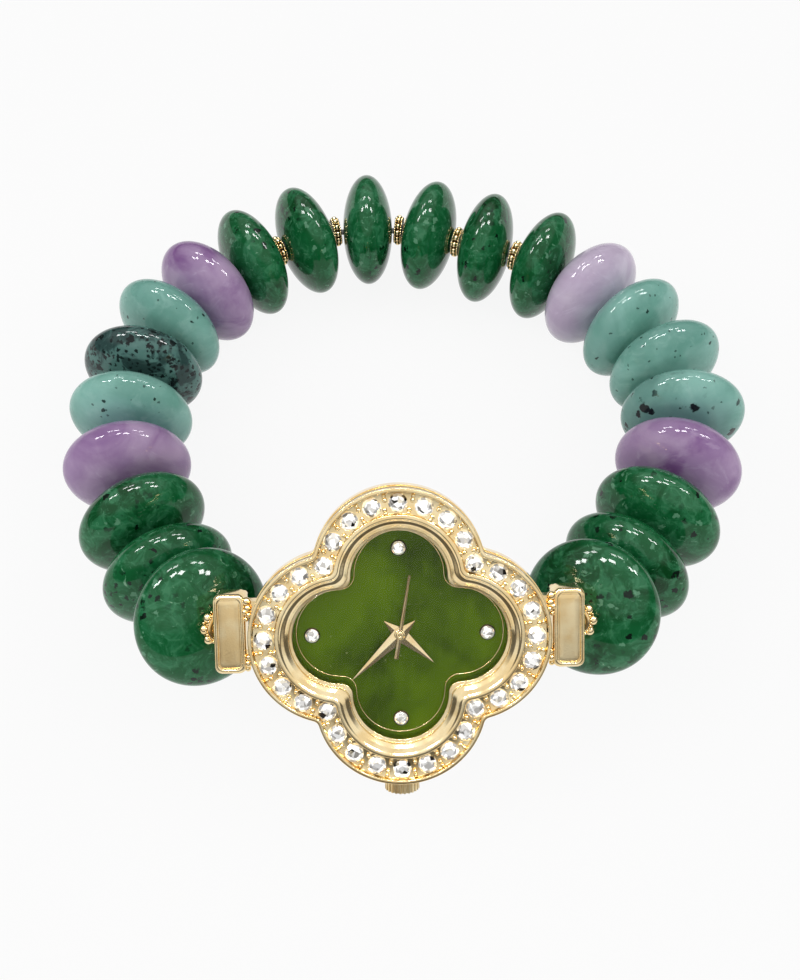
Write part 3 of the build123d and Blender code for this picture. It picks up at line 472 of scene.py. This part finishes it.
def stone_disc(name, kind, heading, rise):
    """An oblate disc spun round its bore, with the drilled hole's rim eased."""
    half, bore, steps, ease = BEAD_THICKNESS[kind] / 2, BEAD_BORE / 2, 40, 0.18
    start = bore + ease
    rim = [start + (BEAD_WIDTH / 2 - start) * sin(pi * k / (2 * steps)) for k in range(steps + 1)]
    curve = [(r, half * sqrt(max(0.0, 1 - (2 * r / BEAD_WIDTH) ** 2))) for r in rim]
    top = curve[0][1]
    outline = [(bore, 0), (bore, top - ease), (bore + ease * 0.3, top - ease * 0.3)] + curve
    outline += [(r, -h) for r, h in reversed(curve[:-1])]
    outline += [(bore + ease * 0.3, -top + ease * 0.3), (bore, -top + ease)]
    bm = bmesh.new()
    spun(bm, outline, 88)
    finished(bm, "stone_" + name, STONE[kind], string_place(name, heading, rise), name + "_body",
             replaces=(name,))


def ball(bm, x, y, z, radius, rings):
    bmesh.ops.create_uvsphere(bm, u_segments=2 * rings, v_segments=rings, radius=radius,
                              matrix=Matrix.Translation((x, y, z)))


def gold_spacer(name, heading, rise):
    """A cast spacer: a core, a row of large grains round its waist and a beaded edge on each side; the back
    spacers' cores are near-black, painted shade between the slim stones.
    """
    core, ease, bore, half = 1.72, 0.12, SPACER_BORE / 2, SPACER_THICKNESS / 2
    waist, rim, rim_beads = 1.86, 1.80, 30
    place = string_place(name, heading, rise)
    bm = bmesh.new()
    spun(bm, [(bore, -half), (core - ease, -half), (core, -half + ease), (core, half - ease),
              (core - ease, half), (bore, half)], 40)
    # Between the slim stones the core is near-black: painted shade; at the ends it is polished gold.
    finished(bm, "core_" + name, POLISHED_GOLD if rise else PAINTED_SHADE_METAL, place, name + "_body",
             replaces=(name,))
    bm = bmesh.new()
    count, grain = (9, 0.56) if rise else (12, 0.40)
    for k in range(count):
        turn = 2 * pi * k / count
        ball(bm, waist * cos(turn), waist * sin(turn), 0, grain, 9)
    for k in range(rim_beads):
        for side in (-1, 1):
            turn = 2 * pi * (k + 0.5) / rim_beads
            ball(bm, rim * cos(turn), rim * sin(turn), side * (half - 0.10), 0.16, 5)
    finished(bm, "grains_" + name, POLISHED_GOLD, place, name + "_body")


def quatrefoil(offset, radius, notch, lobe_steps=44, notch_steps=12):
    """Points round four lobes joined by rounded notches, on the head's own plane."""
    # The notch arc's middle lies on the diagonal, outside, at the lobe's radius plus its own from each lobe
    reach = radius + notch
    diagonal = (offset + sqrt(2 * reach ** 2 - offset ** 2)) / 2
    lobe_end = atan2(diagonal, diagonal - offset)
    points = []
    for quarter in range(4):
        turn = quarter * pi / 2
        for k in range(lobe_steps + 1):
            angle = -lobe_end + 2 * lobe_end * k / lobe_steps
            points.append((offset + radius * cos(angle), radius * sin(angle), turn))
        start = atan2(radius * sin(lobe_end) - diagonal, offset + radius * cos(lobe_end) - diagonal)
        finish = atan2(offset + radius * cos(lobe_end) - diagonal, radius * sin(lobe_end) - diagonal)
        if finish > start:
            finish -= 2 * pi
        for k in range(1, notch_steps):
            angle = start + (finish - start) * k / notch_steps
            points.append((diagonal + notch * cos(angle), diagonal + notch * sin(angle), turn))
    return [(x * cos(t) - y * sin(t), x * sin(t) + y * cos(t)) for x, y, t in points]


def skinned(bm, outlines, closed):
    """Joins outlines of equally many points into one skin, closed on itself or filled at both ends."""
    rings = [[bm.verts.new(point) for point in outline] for outline in outlines]
    for one, two in zip(rings, rings[1:] + rings[:1] if closed else rings[1:]):
        for a, b, c, d in zip(one, one[1:] + one[:1], two[1:] + two[:1], two):
            bm.faces.new((a, b, c, d))
    if not closed:
        for ring in (rings[0], rings[-1]):
            bm.faces.new(ring)
    bmesh.ops.recalc_face_normals(bm, faces=bm.faces)


def ring_stack(bm, loops, closed=True):
    """One skin over a list of four-lobed outlines, each (offset, radius, notch, level)."""
    skinned(bm, [[(x, y, level) for x, y in quatrefoil(offset, radius, notch)]
                 for offset, radius, notch, level in loops], closed)


def eased(corners, ease, steps=3):
    """Rounds the corners of a profile of (offset, radius, notch, level) rings."""
    rounded = []
    count = len(corners)
    for k, here in enumerate(corners):
        before, after = Vector(corners[k - 1]), Vector(corners[(k + 1) % count])
        here = Vector(here)
        back, ahead = before - here, after - here
        back_length = max(1e-6, hypot(back[0] + back[1], back[3]))
        ahead_length = max(1e-6, hypot(ahead[0] + ahead[1], ahead[3]))
        run = min(ease, 0.45 * back_length, 0.45 * ahead_length)
        one, two = here + back * (run / back_length), here + ahead * (run / ahead_length)
        for j in range(steps + 1):
            t = j / steps
            rounded.append(tuple(one * (1 - t) ** 2 + here * 2 * t * (1 - t) + two * t * t))
    return rounded


def notch_reach(offset, radius, notch):
    """How far out on the diagonal the rounded notch of a four-lobed outline lies."""
    return (offset + sqrt(2 * (radius + notch) ** 2 - offset ** 2)) / sqrt(2) - notch


def stone_rings():
    """Where the bezel's stones sit, in order round it: seven to a lobe and one in each notch."""
    channel = LOBE_RADIUS - LIP_WIDTH
    offset, radius = (LOBE_OFFSET + OPENING_OFFSET) / 2, (channel + INNER_LIP) / 2
    notch = (notch_reach(LOBE_OFFSET, channel, NOTCH) + notch_reach(OPENING_OFFSET, INNER_LIP, NOTCH)) / 2
    places = []
    for quarter in range(4):
        turn = quarter * pi / 2
        for k in range(-3, 4):
            angle = radians(STONE_STEP * k)
            x, y = offset + radius * cos(angle), radius * sin(angle)
            places.append((x * cos(turn) - y * sin(turn), x * sin(turn) + y * cos(turn)))
        places.append((notch * cos(turn + pi / 4), notch * sin(turn + pi / 4)))
    return places


def bezel():
    """The bezel's section carried round four lobes: side, lip, channel, inner lip, slope and crystal seat."""
    o, r, n = LOBE_OFFSET, LOBE_RADIUS, NOTCH
    i, s, m = OPENING_OFFSET, INNER_LIP, NOTCH
    section = [
        (o, r, n, BEZEL_SEAT), (o, r + 0.02, n, 1.15), (o, r - 0.06, n, 1.25), (o, r - 0.06, n, 1.4),
        (o, r, n, 1.5), (o, r, n, BEZEL_TOP), (o, r - 0.40, n + 0.3, BEZEL_TOP),
        (o, r - 0.46, n + 0.3, LIP_FOOT),
        (i, s + 0.05, m, LIP_FOOT), (i, s, m, INNER_TOP), (i, s - 0.42, m + 0.3, INNER_TOP),
        (i, s - 0.62, m + 0.5, 2.12), (i, s - 1.0, m + 0.6, 2.05), (i, s - 1.40, m + 0.7, SLOPE_FOOT),
        (i, OPENING_RADIUS, OPENING_NOTCH, SLOPE_FOOT), (i, OPENING_RADIUS, OPENING_NOTCH, CRYSTAL_SEAT),
        (i, SEAT_RADIUS, OPENING_NOTCH, CRYSTAL_SEAT), (i, SEAT_RADIUS, OPENING_NOTCH, BEZEL_SEAT),
    ]
    bm = bmesh.new()
    ring_stack(bm, eased(section, 0.09))
    finished(bm, "gold_bezel", POLISHED_GOLD, HEAD_PLACE, "watch_head", replaces=("bezel",))


def cut_stone(bm, x, y, girdle, radius, turn):
    """A round cut stone: a flat table, eight star facets, eight kites and sixteen girdle facets."""
    place = Matrix.Translation((x, y, girdle)) @ Matrix.Rotation(turn, 4, "Z")
    for count, reach, level, phase in ((8, 0.46, 0.40, pi / 8), (8, 0.78, 0.26, 0), (16, 1.0, 0.03, pi / 16),
                                       (16, 0.97, -0.12, pi / 16), (8, 0.5, -0.36, 0)):
        for k in range(count):
            angle = phase + 2 * pi * k / count
            out = reach * radius
            bm.verts.new(place @ Vector((out * cos(angle), out * sin(angle), level * radius)))


def set_stones():
    """The bezel's 32 stones and the dial's four, each in a near-black seat of painted shade, with the grains
    that hold them.
    """
    places = stone_rings()
    dial_places = [(DIAL_STONE_REACH * cos(k * pi / 2), DIAL_STONE_REACH * sin(k * pi / 2)) for k in range(4)]
    for name, node, spots, girdle, radius in (
            ("bezel", "bezel_stones", places, BEZEL_GIRDLE, BEZEL_STONE_RADIUS),
            ("dial", "dial_stones", dial_places, DIAL_GIRDLE, DIAL_STONE_RADIUS)):
        bm = bmesh.new()
        for k, (x, y) in enumerate(spots):
            one = bmesh.new()
            cut_stone(one, x, y, girdle, radius, 1.7 * k)
            bmesh.ops.convex_hull(one, input=one.verts)
            held = bpy.data.meshes.new("cut")
            one.to_mesh(held)
            one.free()
            bm.from_mesh(held)
            bpy.data.meshes.remove(held)
        finished(bm, name + "_cut_stones", PAINTED_SPARKLE_STONE, HEAD_PLACE, "watch_head", smooth=False,
                 replaces=(node,))
    # Thin near-black discs under the stones: painted shade, the dark ring round each stone.
    bm = bmesh.new()
    for spots, radius, depth, level in ((places, 1.12, 0.16, CHANNEL_FLOOR + 0.06),
                                        (dial_places, 0.86, 0.10, 0.24)):
        for x, y in spots:
            bmesh.ops.create_cone(bm, cap_ends=True, segments=32, radius1=radius, radius2=radius - 0.02,
                                  depth=depth, matrix=Matrix.Translation((x, y, level)))
    finished(bm, "painted_shade_seats", PAINTED_SHADE_METAL, HEAD_PLACE, "watch_head")
    bm = bmesh.new()
    for (x, y), (p, q) in zip(places, places[1:] + places[:1]):
        gap = Vector((p - x, q - y))
        side = Vector((-gap.y, gap.x)).normalized()
        centre = Vector(((x + p) / 2, (y + q) / 2))
        for reach, size in ((-0.95, 0.24), (-0.50, 0.27), (0.50, 0.27), (0.92, 0.24)):
            spot = centre + side * reach + gap.normalized() * (0.10 if reach > 0 else -0.08)
            ball(bm, spot.x, spot.y, CHANNEL_FLOOR + 0.36, size, 7)
    finished(bm, "setting_grains", POLISHED_GOLD, HEAD_PLACE, "watch_head")


def crystal():
    """The four-lobed crystal with its bevelled edge."""
    bm = bmesh.new()
    loops = [(OPENING_OFFSET, 5.42, OPENING_NOTCH, level) for level in (1.21, 1.75)]
    loops += [(OPENING_OFFSET, 5.36, OPENING_NOTCH, 1.86), (OPENING_OFFSET, 5.14, OPENING_NOTCH, 2.04)]
    ring_stack(bm, loops, closed=False)
    finished(bm, "bevelled_crystal", CRYSTAL, HEAD_PLACE, "watch_head", smooth=False,
             replaces=("crystal",))


def lug_block(side):
    """A lug block's polished frame, its sunk satin panel and the eased corners of both."""

    def outline(inset, level):
        reach = max(0.06, LUG_CORNER - inset * 0.5)
        points = []
        for x, y, start in ((1, 1, 0), (-1, 1, pi / 2), (-1, -1, pi), (1, -1, 3 * pi / 2)):
            for k in range(9):
                angle = start + k * pi / 16
                points.append((side * LUG_CENTRE + x * (LUG_WIDTH / 2 - inset - reach) + reach * cos(angle),
                               y * (LUG_HEIGHT / 2 - inset - reach) + reach * sin(angle), level))
        return points

    edge = ((0, -3.2), (0, -1.05), (0.04, -0.86), (0.13, -0.70), (0.27, -0.59), (0.42, -0.55), (0.52, -0.60),
            (0.56, -0.76))
    face = ((0.50, -0.82), (0.54, -0.74), (0.75, -0.69), (1.1, -0.66))
    for name, steps, material in (("frame", edge, POLISHED_GOLD), ("panel", face, SATIN_GOLD)):
        bm = bmesh.new()
        skinned(bm, [outline(*step) for step in steps], closed=False)
        end = "left" if side < 0 else "right"
        piece = finished(bm, f"lug_{name}_{end}", material, HEAD_PLACE, "watch_head")
        piece.data.set_sharp_from_angle(angle=radians(50))


def neck_grains():
    """The cast nuggets that fill the corners between the bezel and its lug blocks."""
    bm = bmesh.new()
    for side in (-1, 1):
        for x, y, z, radius in NECK_GRAINS:
            ball(bm, side * x, y, z, radius, 9)
    finished(bm, "neck_grains", POLISHED_GOLD, HEAD_PLACE, "watch_head")


def painted_seat_reflection():
    """The thin gold line that the bezel's seat shows in the crystal's lower edge, built as a gold ring: a
    painted reflection.
    """
    bm = bmesh.new()
    offset, radius, notch, half = OPENING_OFFSET - 0.05, 4.72, 1.55, 0.055
    skinned(bm, [[(x, y + 0.42, 1.0 + rise) for x, y in quatrefoil(offset, radius + out, notch - out)]
                 for out, rise in ((-half, 0), (0, half), (half, 0), (0, -half))], closed=True)
    finished(bm, "crystal_painted_reflection_line", POLISHED_GOLD, HEAD_PLACE, "watch_head")


def hand(name, node, body, angle, reach, tail, width, level, hub, ridge, bore, blunt=0.0):
    """A hand with a ridge down its middle and a turned hub, pointed, or blunt by half its width at the end."""
    bm = bmesh.new()
    half = width / 2
    if blunt:
        outline = [(reach, blunt), (-tail, half), (-tail, -half), (reach, -blunt)]
        crest = [(reach, 0), (-tail, 0)]
    else:
        outline = [(reach, 0.03), (0, half), (-tail, 0.03), (-tail, -0.03), (0, -half), (reach, -0.03)]
        crest = [(0, 0)]
    for x, y in outline:
        bm.verts.new((x, y, level))
        bm.verts.new((x, y, level - 0.03))
    for x, y in crest:
        bm.verts.new((x, y, level + ridge))
    bmesh.ops.convex_hull(bm, input=bm.verts)
    bmesh.ops.transform(bm, matrix=Matrix.Rotation(radians(-angle), 4, "Z"), verts=bm.verts)
    bmesh.ops.recalc_face_normals(bm, faces=bm.faces)
    finished(bm, name, HAND_GOLD, HEAD_PLACE, body, smooth=False, replaces=(node,))
    bm = bmesh.new()
    spun(bm, [(bore, level), (hub, level), (hub, level + 0.10), (hub - 0.1, level + 0.15),
              (bore + 0.03, level + 0.15), (bore, level + 0.1)], 36)
    finished(bm, name + "_hub", HAND_GOLD, HEAD_PLACE, body)


def elastic():
    """The elastic as one smooth line through every bore, knotted inside the lug blocks."""
    curve = bpy.data.curves.new("elastic_line", "CURVE")
    curve.dimensions = "3D"
    spline = curve.splines.new("NURBS")
    spline.points.add(len(CORD_ROUTE) - 1)
    for point, place in zip(spline.points, CORD_ROUTE):
        point.co = (*(Vector(place) * MM), 1)
    spline.order_u = 3
    spline.use_endpoint_u = True
    curve.bevel_depth = CORD_DIAMETER / 2 * MM
    curve.bevel_resolution = 4
    curve.resolution_u = 8
    curve.use_fill_caps = True
    curve.materials.append(ELASTIC)
    route = bpy.data.objects.new("elastic_route", curve)
    tube = bpy.data.meshes.new_from_object(route)
    curve.bevel_depth = 0
    path = [point.co.copy() for point in bpy.data.meshes.new_from_object(route).vertices]
    line = bpy.data.objects.new("elastic_line", tube)
    bpy.context.scene.collection.objects.link(line)
    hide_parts("elastic_cord")
    bm = bmesh.new()
    for spot in (CORD_ROUTE[0], CORD_ROUTE[-1]):
        ball(bm, *spot, 0.7, 10)
    knots = finished(bm, "elastic_knots", ELASTIC, Matrix.Identity(4), "band")
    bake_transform(line)


for k, (bead, kind, heading) in enumerate(BEADS):
    rise = {0: -END_RISE, len(BEADS) - 1: END_RISE}.get(k, 0)
    stone_disc(bead, kind, heading, rise)
    if rise:
        gold_spacer("spacer_left_end" if k == 0 else "spacer_right_end", heading, rise)
    elif kind == "slim" and BEADS[k + 1][1] == "slim":
        gold_spacer(f"spacer_back_{k - 7}", (heading + BEADS[k + 1][2]) / 2, 0)
bezel()
set_stones()
crystal()
for side in (-1, 1):
    lug_block(side)
neck_grains()
painted_seat_reflection()
hand("hour_pointer", "hour_hand", "hour_arbor", angle=41.4, reach=4.7, tail=2.2, width=1.55, level=0.42,
     hub=0.62, ridge=0.16, bore=0.3)
hand("minute_pointer", "minute_hand", "minute_arbor", angle=136.7, reach=7.05, tail=2.2, width=1.55, level=0.68,
     hub=0.6, ridge=0.16, bore=0.2)
hand("seconds_pointer", "seconds_hand", "seconds_arbor", angle=279.6, reach=6.6, tail=2.6, width=0.46,
     level=0.92, hub=0.42, ridge=0.08, bore=0.1, blunt=0.13)
elastic()

# The pieces whose CAD shape stays get their finish
FINISHES = {
    "case_middle": POLISHED_GOLD, "crown": SATIN_GOLD, "case_back": STEEL, "dial": DIAL,
    "movement_ring": PLASTIC, "main_plate": BRASS, "train_bridge": BRASS, "movement_screws": STEEL,
    "battery_cell": STEEL, "circuit_board": BOARD, "quartz_oscillator": STEEL, "coil_winding": COPPER,
    "stator": STEEL, "rotor": STEEL, "intermediate_wheel": BRASS, "seconds_wheel": BRASS, "third_wheel": BRASS,
    "centre_wheel": BRASS, "minute_wheel": BRASS, "hour_wheel": BRASS, "stem": STEEL, "crown_gasket": SEAL,
    "case_back_gasket": SEAL,
}
for node, material in FINISHES.items():
    shown = frame["nodes"][node]
    shown.data.materials.clear()
    shown.data.materials.append(material)


def lamp(name, place, aim, width, height, power):
    """A soft panel that lights the object from place towards aim."""
    light = bpy.data.lights.new(name, "AREA")
    light.shape = "RECTANGLE"
    light.size, light.size_y = width, height
    light.energy = power
    held = bpy.data.objects.new(name, light)
    held.location = place
    held.rotation_euler = (Vector(aim) - Vector(place)).to_track_quat("-Z", "Y").to_euler()
    bpy.context.scene.collection.objects.link(held)
    return held


def white_sweep():
    """The floor: white to the camera, a plain pale surface to the light."""
    bm = bmesh.new()
    bmesh.ops.create_grid(bm, x_segments=1, y_segments=1, size=1.5)
    mesh = bpy.data.meshes.new("floor")
    bm.to_mesh(mesh)
    bm.free()
    floor = bpy.data.objects.new("floor", mesh)
    floor.location = (0, 0, -0.00002)
    bpy.context.scene.collection.objects.link(floor)
    f = Finish("white_sweep", roughness=0.9, specular_ior_level=0.0)
    f.set(base_color=f.mix(f.noise(20, 2.0), (0.78, 0.78, 0.78), (0.80, 0.80, 0.80)))
    seen = (f.rays("Camera") + f.rays("Glossy") + f.rays("Transmission")).clamped()
    glow = f.node("Emission", {}, {})
    shown = f.node("MixShader", {}, [seen * FLOOR_GLOW, Field(f, f.shader.outputs[0]), glow])
    f.tree.links.new(shown.socket, f.end.inputs["Surface"])
    mesh.materials.append(f.material)


def pale_room():
    """The room: white to the camera, softly lit, and a bright ceiling over a dark horizon in polished metal."""
    world = bpy.data.worlds.new("pale_room")
    bpy.context.scene.world = world
    world.use_nodes = True
    room = Nodes(world.node_tree)
    end = room.tree.nodes.new("ShaderNodeOutputWorld")
    above = room.axis(room.node("TexCoord", {}, {}, "Generated"), "Z")
    seen = (room.rays("Camera") + room.rays("Transmission")).clamped()
    mirrored = room.rays("Glossy")
    soft = 0.42 + 0.20 * above.above(0.5, 0.95)
    sharp = 0.13 + 0.85 * above.above(0.34, 0.62)
    strength = (soft * (1 - mirrored) + sharp * mirrored) * (1 - seen) + seen
    lit = room.node("Background", {}, {"Color": (1, 1, 1), "Strength": strength}, "Background")
    room.tree.links.new(lit.socket, end.inputs["Surface"])


def photograph_camera():
    """The camera at the photograph's angle, its target and distance in mm."""
    camera = bpy.data.cameras.new("camera")
    camera.lens = 40.0
    camera.sensor_width = camera.sensor_height = 36.0
    camera.sensor_fit = "VERTICAL"
    camera.clip_start = 0.005
    eye = bpy.data.objects.new("camera", camera)
    target, distance, tilt = Vector((-0.9, -3.2, 0.0)), 147.1, radians(55.77)
    eye.location = (target + Vector((0, -distance * cos(tilt), distance * sin(tilt)))) * MM
    eye.rotation_euler = (radians(90) - tilt, 0, 0)
    bpy.context.scene.collection.objects.link(eye)
    bpy.context.scene.camera = eye
    bpy.context.scene.view_settings.view_transform = "Standard"


def studio():
    """The sweep, the room, two rows of small paired lamps that the stones mirror, and broad soft lamps."""
    white_sweep()
    pale_room()
    height, half_gap = 0.34, 0.036
    for row, (y, power, spots) in enumerate(((0.05, 0.26, (-0.27, -0.02, 0.24)), (0.19, 0.16, (-0.14, 0.12)))):
        for k, x in enumerate(spots):
            for pane in (-1, 1):
                small = lamp(f"panel_lamp_{row}_{k}_{pane + 1}", (x + half_gap * pane, y, height),
                             (0.4 * x, 0, 0), 0.052, 0.040, power)
                small.visible_diffuse = False
    for name, place, aim, width, depth, power in (
            ("soft_left", (-0.40, 0.02, 0.34), (0, 0, 0), 0.30, 0.30, 0.75),
            ("soft_right", (0.40, 0.04, 0.32), (0, 0, 0), 0.30, 0.30, 0.60),
            ("soft_front", (0.02, -0.50, 0.26), (0, -0.02, 0.01), 0.5, 0.16, 0.6)):
        lamp(name, place, aim, width, depth, power).visible_glossy = False
    photograph_camera()


studio()
